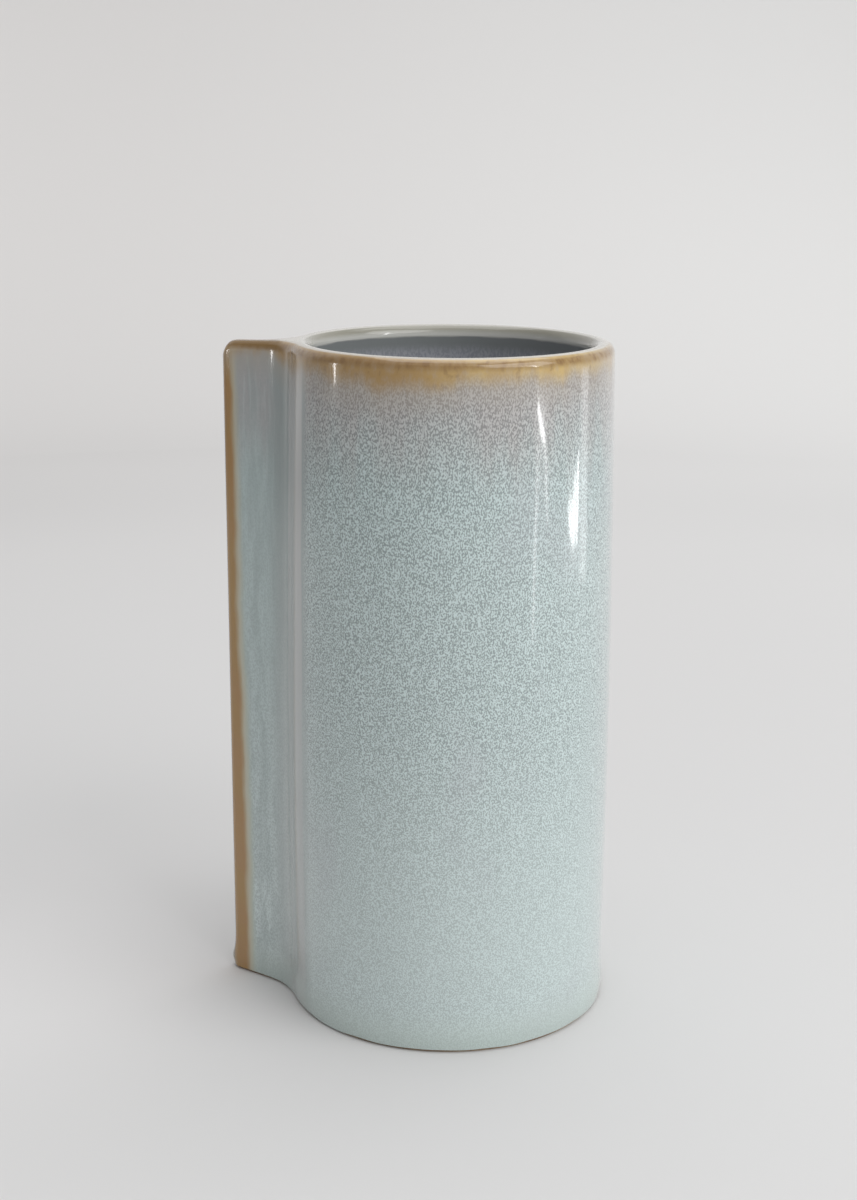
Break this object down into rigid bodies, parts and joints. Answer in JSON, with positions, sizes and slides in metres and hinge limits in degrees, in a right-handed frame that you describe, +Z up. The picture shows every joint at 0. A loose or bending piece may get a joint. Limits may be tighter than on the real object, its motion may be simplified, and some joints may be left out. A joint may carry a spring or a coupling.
{
  "type": "brush pot",
  "caption": "Tall round glazed stoneware pot with one flat upright fin on its side, open at the top, for standing brushes and pens in.",
  "frame": {"origin": "on the table under the round wall's axis, at the middle of the floor's flat underside", "axes": "+Z up the round wall's axis, the fin's faces parallel to the XZ plane, the fin pointing towards -X and standing on the -Y side of the axis"},
  "size_m": [0.0976, 0.0864, 0.18],
  "materials": {
    "bare_clay": "unglazed fired stoneware, fine grained and matt",
    "outer_glaze": "glossy pale blue-green speckled reactive glaze, breaking to amber on edges",
    "liner_glaze": "glossy slate blue-grey liner glaze"
  },
  "bodies": {
    "root": {"wall_slab": "bare_clay", "fin_slab": "bare_clay", "floor_slab": "bare_clay", "front_blend_coil": "bare_clay", "back_seam_coil": "bare_clay", "floor_seam_coil": "bare_clay", "outer_glaze": "outer_glaze", "liner_glaze": "liner_glaze"}
  },
  "joints": []
}
